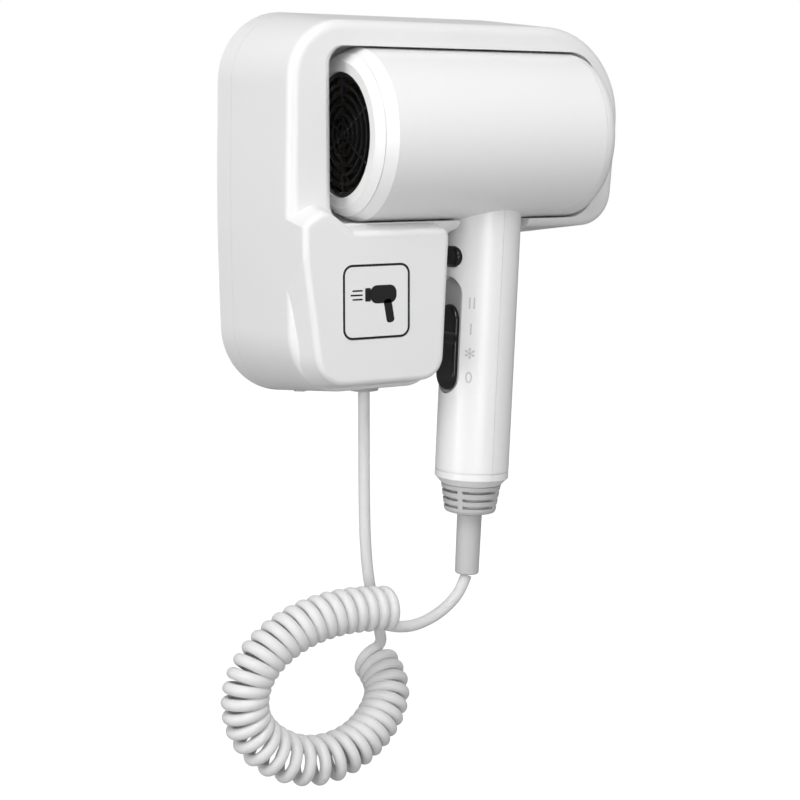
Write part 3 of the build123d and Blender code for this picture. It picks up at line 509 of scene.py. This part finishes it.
def cord_line(settings):
    """The whole cord's middle line, from the base to the handset."""
    base_tail = trimmed(evenly(route_points("base_tail", BASE_TAIL), CORD_STEP), TAIL_TRIM)
    handset_tail = trimmed(evenly(route_points("handset_tail", HANDSET_TAIL), CORD_STEP), TAIL_TRIM)
    handset_tail.reverse()
    coil = coil_points(settings, base_tail[-1])
    coil.reverse()
    line = list(base_tail)
    for part in (coil, handset_tail):
        leaving = (line[-1] - line[-3]).normalized()
        arriving = (part[2] - part[0]).normalized()
        line += joining_points(line[-1], leaving, part[0], arriving, CORD_STEP)
        line += part
    return line


def tube_mesh(name, line, radius, sides=20):
    """A closed round tube round a line of points, built from one circle carried along it."""
    frames = carried_frames(line, Vector((1, 0, 0)))
    corners = [(cos(2 * pi * k / sides) * radius, sin(2 * pi * k / sides) * radius) for k in range(sides)]
    points, faces = [], []
    for point, (_, side, other) in zip(line, frames):
        points += [point + side * across + other * up for across, up in corners]
    for ring in range(len(line) - 1):
        low, high = ring * sides, (ring + 1) * sides
        faces += [(low + k, low + (k + 1) % sides, high + (k + 1) % sides, high + k) for k in range(sides)]
    faces.append(tuple(range(sides - 1, -1, -1)))
    last = (len(line) - 1) * sides
    faces.append(tuple(range(last, last + sides)))
    mesh = bpy.data.meshes.new(name)
    mesh.from_pydata([tuple(point) for point in points], [], faces)
    piece = bpy.data.objects.new(name, mesh)
    bpy.context.scene.collection.objects.link(piece)
    make_active(piece)
    bpy.ops.object.shade_smooth()
    return piece


class DRYER_OT_curly_cord(bpy.types.Operator):
    """Make the cord in one length, with its coil between two plain ends"""

    bl_idname = "dryer.curly_cord"
    bl_label = "Curly Cord"

    def execute(self, context):
        settings = context.scene.dryer_cord
        line = cord_line(settings)
        cord = tube_mesh("curly_cord", line, settings.diameter / 2)
        give_material(cord, bpy.data.materials["cord_jacket"])
        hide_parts("cord_coil", "cord_base_tail", "cord_handset_tail")
        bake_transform(cord)
        return {"FINISHED"}


# ---------------------------------------------------------------- return spring

SPRING_LENGTH, SPRING_RADIUS, SPRING_WIRE, SPRING_TURNS = 4.2 * MM, 3.0 * MM, 0.3 * MM, 3.5
SPRING_STEPS = 112


class DRYER_OT_return_spring(bpy.types.Operator):
    """Wind the button's return spring at its rest length, as one fixed coil on the handset that does not
    shorten as the button goes in
    """

    bl_idname = "dryer.return_spring"
    bl_label = "Return Spring"

    def execute(self, context):
        low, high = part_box("button_spring")
        middle = (Vector(low) + Vector(high)) / 2
        side = HANDLE_REAR.cross(Vector((0, 1, 0))).normalized()
        other = HANDLE_REAR.cross(side)
        line = []
        for step in range(SPRING_STEPS + 1):
            share = step / SPRING_STEPS
            turn = 2 * pi * SPRING_TURNS * share
            along = HANDLE_REAR * SPRING_LENGTH * (share - 0.5)
            line.append(middle + along + (side * cos(turn) + other * sin(turn)) * SPRING_RADIUS)
        spring = tube_mesh("return_spring", line, SPRING_WIRE, sides=10)
        give_material(spring, bpy.data.materials["screw_steel"])
        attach(spring, "handset")
        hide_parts("button_spring")
        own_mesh(spring)
        return {"FINISHED"}


# ---------------------------------------------------------------- printed marks

def flat_plate(centre, size, corner, turn=0.0, cuts=0):
    """A flat plate in the XZ plane with rounded corners, as an object of its own."""
    deselect_all()
    bpy.ops.mesh.primitive_plane_add(size=1, location=centre, rotation=(pi / 2, turn, 0))
    plate = bpy.context.active_object
    plate.scale = (size[0], size[1], 1)
    settle(plate)
    bpy.ops.object.mode_set(mode="EDIT")
    bpy.ops.mesh.select_all(action="SELECT")
    if cuts:
        bpy.ops.mesh.subdivide(number_cuts=cuts)
    else:
        bpy.ops.mesh.bevel(offset=corner, segments=8, affect="VERTICES")
    bpy.ops.object.mode_set(mode="OBJECT")
    return plate


def hollowed(plate, width):
    """Leave only a band round the plate's edge."""
    make_active(plate)
    bpy.ops.object.mode_set(mode="EDIT")
    bpy.ops.mesh.select_all(action="SELECT")
    bpy.ops.mesh.inset(thickness=width)
    bpy.ops.mesh.delete(type="FACE")
    bpy.ops.object.mode_set(mode="OBJECT")
    return plate


def thickened(piece, thickness):
    """Give a flat print its thickness."""
    solid = piece.modifiers.new("Ink", "SOLIDIFY")
    solid.thickness = thickness
    solid.offset = 0
    apply_modifiers(piece)
    make_active(piece)
    bpy.ops.object.mode_set(mode="EDIT")
    bpy.ops.mesh.select_all(action="SELECT")
    bpy.ops.mesh.normals_make_consistent(inside=False)
    bpy.ops.object.mode_set(mode="OBJECT")
    return piece


class DRYER_OT_badge(bpy.types.Operator):
    """Print the badge on the pocket: a rounded outline and a plain picture of a dryer blowing air"""

    bl_idname = "dryer.badge"
    bl_label = "Badge"

    def execute(self, context):
        marks = context.scene.dryer_marks
        low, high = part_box("pocket_badge")
        middle = (low + high) / 2
        face = low.y - marks.ink_thickness / 4
        width, height = high.x - low.x, high.z - low.z

        def on_badge(x, z):
            return (middle.x + x * MM, face, middle.z + z * MM)

        outline = hollowed(flat_plate(on_badge(0, 0), (width, height), 5 * MM), marks.outline_width)
        thickened(join_pieces([outline], "badge_outline"), marks.ink_thickness)
        parts = [
            flat_plate(on_badge(3.6, 3.2), (14 * MM, 8.4 * MM), 3.6 * MM),
            flat_plate(on_badge(-4.6, 3.2), (3.0 * MM, 6.2 * MM), 0.5 * MM),
            flat_plate(on_badge(6.6, -4.6), (4.2 * MM, 11 * MM), 1.5 * MM, turn=radians(-10)),
        ]
        for rise, reach in ((5.2, 5.4), (3.2, 6.4), (1.2, 5.4)):
            parts.append(flat_plate(on_badge(-7.4 - reach / 2, rise), (reach * MM, 0.75 * MM), 0.3 * MM))
        icon = thickened(join_pieces(parts, "badge_icon"), marks.ink_thickness)
        for piece in (outline, icon):
            give_material(piece, bpy.data.materials["print_black"])
            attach(piece, "base")
        return {"FINISHED"}


MARK_TURN = radians(45)  # from the controls' side round towards the front
HANDLE_RADIUS = 18.3 * MM


def wrapped(piece, height, thickness):
    """Lay a flat print on the handle's round side at a height, and give it its thickness."""
    for vertex in piece.data.vertices:
        turn = MARK_TURN + vertex.co.x / HANDLE_RADIUS
        out = -HANDLE_REAR * cos(turn) + FRONT * sin(turn)
        vertex.co = HANDLE_TOP + HANDLE_UP * (height + vertex.co.z) + out * HANDLE_RADIUS
    return thickened(piece, thickness)


class DRYER_OT_switch_marks(bpy.types.Operator):
    """Print the four marks beside the slide switch: two bars, one bar, a snowflake and a ring"""

    bl_idname = "dryer.switch_marks"
    bl_label = "Switch Marks"

    def execute(self, context):
        marks = context.scene.dryer_marks
        tall, bar = marks.mark_height, 0.75 * MM
        centre = (0, 0, 0)
        two = join_pieces(
            [flat_plate((side * 1.1 * MM, 0, 0), (bar, tall), bar / 3) for side in (-1, 1)], "mark_high")
        one = join_pieces([flat_plate(centre, (bar, tall), bar / 3)], "mark_low")
        arms = []
        for turn in (0, 60, 120):
            arms.append(flat_plate(centre, (bar * 0.8, tall), 0, turn=radians(turn), cuts=5))
        for turn in range(0, 360, 60):
            way = Matrix.Rotation(radians(turn), 3, "Y") @ Vector((0, 0, tall * 0.34))
            for lean in (-55, 55):
                barb = (bar * 0.6, tall * 0.26)
                arms.append(flat_plate(tuple(way), barb, 0, turn=radians(turn + lean), cuts=2))
        cool = join_pieces(arms, "mark_cool")
        deselect_all()
        bpy.ops.mesh.primitive_circle_add(
            vertices=48, radius=tall / 2, fill_type="NGON", location=centre, rotation=(pi / 2, 0, 0))
        off = bpy.context.active_object
        off.scale = (0.62, 1, 1)
        settle(off)
        hollowed(off, bar)
        off.name = "mark_off"
        for piece, height in ((two, -80.7), (one, -93.3), (cool, -105), (off, -116.7)):
            wrapped(piece, height * MM, marks.ink_thickness)
            give_material(piece, bpy.data.materials["print_grey"])
            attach(piece, "handset")
        return {"FINISHED"}


# ---------------------------------------------------------------- studio

AIR_LIGHT = 0.40  # the white surroundings' share of the light on the object
LIT_PLACE = Vector((0.04, -0.05, -0.03))
CAMERA_PLACE, CAMERA_TURN = (-0.39691, -0.76316, 0.02926), (radians(81.39), 0, radians(-30.90))
CAMERA_LENS, CAMERA_SENSOR = 78.24, 36
FLOOR_SIZE, FLOOR_GAP, DOME_RADIUS = 12, 0.03, 5.5
FLOOR_COLOUR = (0.42, 0.42, 0.42)
LIGHT_DISTANCE = 1.5
LIGHTS = (  # name, turn from the front, rise above level, size, share of the light
    ("key", -31, 50, (0.6, 0.9), 0.50),
    ("front", -15, 0, (0.6, 0.9), 0.28),
    ("left", -80, 5, (0.6, 0.9), 0.31),
)


def seen_or_lit(tree, socket, seen, lit):
    """Give a socket one value where it is seen directly and another where it lights something."""
    ray = tree.nodes.new("ShaderNodeLightPath")
    value = tree.nodes.new("ShaderNodeMapRange")
    value.inputs["To Min"].default_value = lit
    value.inputs["To Max"].default_value = seen
    tree.links.new(ray.outputs["Is Camera Ray"], value.inputs["Value"])
    tree.links.new(value.outputs["Result"], socket)


def floor_material():
    """A pale floor with a faint drift of colour, which throws little light back up."""
    material, tree, surface, place = shader("floor_white")
    drift = noise(tree, place, 3, 2)
    tree.links.new(tinted(tree, drift, FLOOR_COLOUR, 0.995), surface.inputs["Base Color"])
    surface.inputs["Roughness"].default_value = 0.9
    surface.inputs["Specular IOR Level"].default_value = 0.1
    surface.inputs["Emission Color"].default_value = (1, 1, 1, 1)
    seen_or_lit(tree, surface.inputs["Emission Strength"], 0.86, 0.0)
    return material


def add_backdrop():
    """A white dome that is only seen, and neither lights nor shades anything."""
    deselect_all()
    bpy.ops.mesh.primitive_uv_sphere_add(segments=48, ring_count=24, radius=DOME_RADIUS)
    dome = bpy.context.active_object
    dome.name = "backdrop"
    material, _, surface, _ = shader("backdrop_white")
    surface.inputs["Base Color"].default_value = (0, 0, 0, 1)
    surface.inputs["Roughness"].default_value = 1.0
    surface.inputs["Specular IOR Level"].default_value = 0.0
    surface.inputs["Emission Color"].default_value = (1, 1, 1, 1)
    surface.inputs["Emission Strength"].default_value = 1.0
    give_material(dome, material)
    for ray in ("visible_diffuse", "visible_glossy", "visible_transmission", "visible_shadow"):
        setattr(dome, ray, False)
    dome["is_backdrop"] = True


def soft_light(name, place, aim, size, power):
    """A soft light panel that points at a place."""
    deselect_all()
    bpy.ops.object.light_add(type="AREA", location=place)
    light = bpy.context.active_object
    light.name = name
    light.rotation_euler = (Vector(aim) - Vector(place)).to_track_quat("-Z", "Y").to_euler()
    light.data.shape = "RECTANGLE"
    light.data.size, light.data.size_y = size
    light.data.energy = power
    return light


class DRYER_OT_studio(bpy.types.Operator):
    """Set up the pale floor, the soft lights and the camera"""

    bl_idname = "dryer.studio"
    bl_label = "Studio"

    def execute(self, context):
        scene = context.scene
        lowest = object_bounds()[0][2]
        deselect_all()
        bpy.ops.mesh.primitive_plane_add(size=FLOOR_SIZE, location=(0, 0, lowest - FLOOR_GAP))
        floor = context.active_object
        floor.name = "floor"
        give_material(floor, floor_material())
        floor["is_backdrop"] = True

        world = bpy.data.worlds.new("studio_air")
        world.use_nodes = True
        world.node_tree.nodes["Background"].inputs["Color"].default_value = (1, 1, 1, 1)
        world.node_tree.nodes["Background"].inputs["Strength"].default_value = AIR_LIGHT
        scene.world = world
        add_backdrop()

        for name, turn, rise, size, share in LIGHTS:
            turn, rise = radians(turn), radians(rise)
            way = Vector((sin(turn) * cos(rise), -cos(turn) * cos(rise), sin(rise)))
            power = share * (pi * LIGHT_DISTANCE)**2
            soft_light(name, LIT_PLACE + way * LIGHT_DISTANCE, LIT_PLACE, size, power)

        bpy.ops.object.camera_add(location=CAMERA_PLACE, rotation=CAMERA_TURN)
        camera = context.active_object
        camera.name = "camera"
        camera.data.lens = CAMERA_LENS
        camera.data.sensor_width = CAMERA_SENSOR
        camera.data.clip_end = 20
        scene.camera = camera
        scene.view_settings.view_transform = "Standard"
        return {"FINISHED"}


# ---------------------------------------------------------------- panel and registration

STEPS = (
    DRYER_OT_finishes, DRYER_OT_curly_cord, DRYER_OT_return_spring, DRYER_OT_badge, DRYER_OT_switch_marks,
    DRYER_OT_studio,
)


class DRYER_PT_panel(bpy.types.Panel):
    """Panel with the sizes, the colours and the steps"""

    bl_label = "Hair Dryer"
    bl_idname = "DRYER_PT_panel"
    bl_space_type = "VIEW_3D"
    bl_region_type = "UI"
    bl_category = "Hair Dryer"

    def draw(self, context):
        for settings in (context.scene.dryer_finish, context.scene.dryer_cord, context.scene.dryer_marks):
            box = self.layout.box()
            for name in settings.__annotations__:
                box.prop(settings, name)
        for step in STEPS:
            self.layout.operator(step.bl_idname)


CLASSES = (FinishSettings, CordSettings, MarkSettings, *STEPS, DRYER_PT_panel)


def register():
    """Register the classes and the settings."""
    for item in CLASSES:
        bpy.utils.register_class(item)
    bpy.types.Scene.dryer_finish = bpy.props.PointerProperty(type=FinishSettings)
    bpy.types.Scene.dryer_cord = bpy.props.PointerProperty(type=CordSettings)
    bpy.types.Scene.dryer_marks = bpy.props.PointerProperty(type=MarkSettings)


def unregister():
    """Take the classes and the settings away again."""
    del bpy.types.Scene.dryer_marks
    del bpy.types.Scene.dryer_cord
    del bpy.types.Scene.dryer_finish
    for item in reversed(CLASSES):
        bpy.utils.unregister_class(item)


def main():
    """Make everything in order."""
    register()
    bpy.ops.dryer.finishes()
    bpy.ops.dryer.curly_cord()
    bpy.ops.dryer.return_spring()
    bpy.ops.dryer.badge()
    bpy.ops.dryer.switch_marks()
    bpy.ops.dryer.studio()


if __name__ == "__main__":
    main()
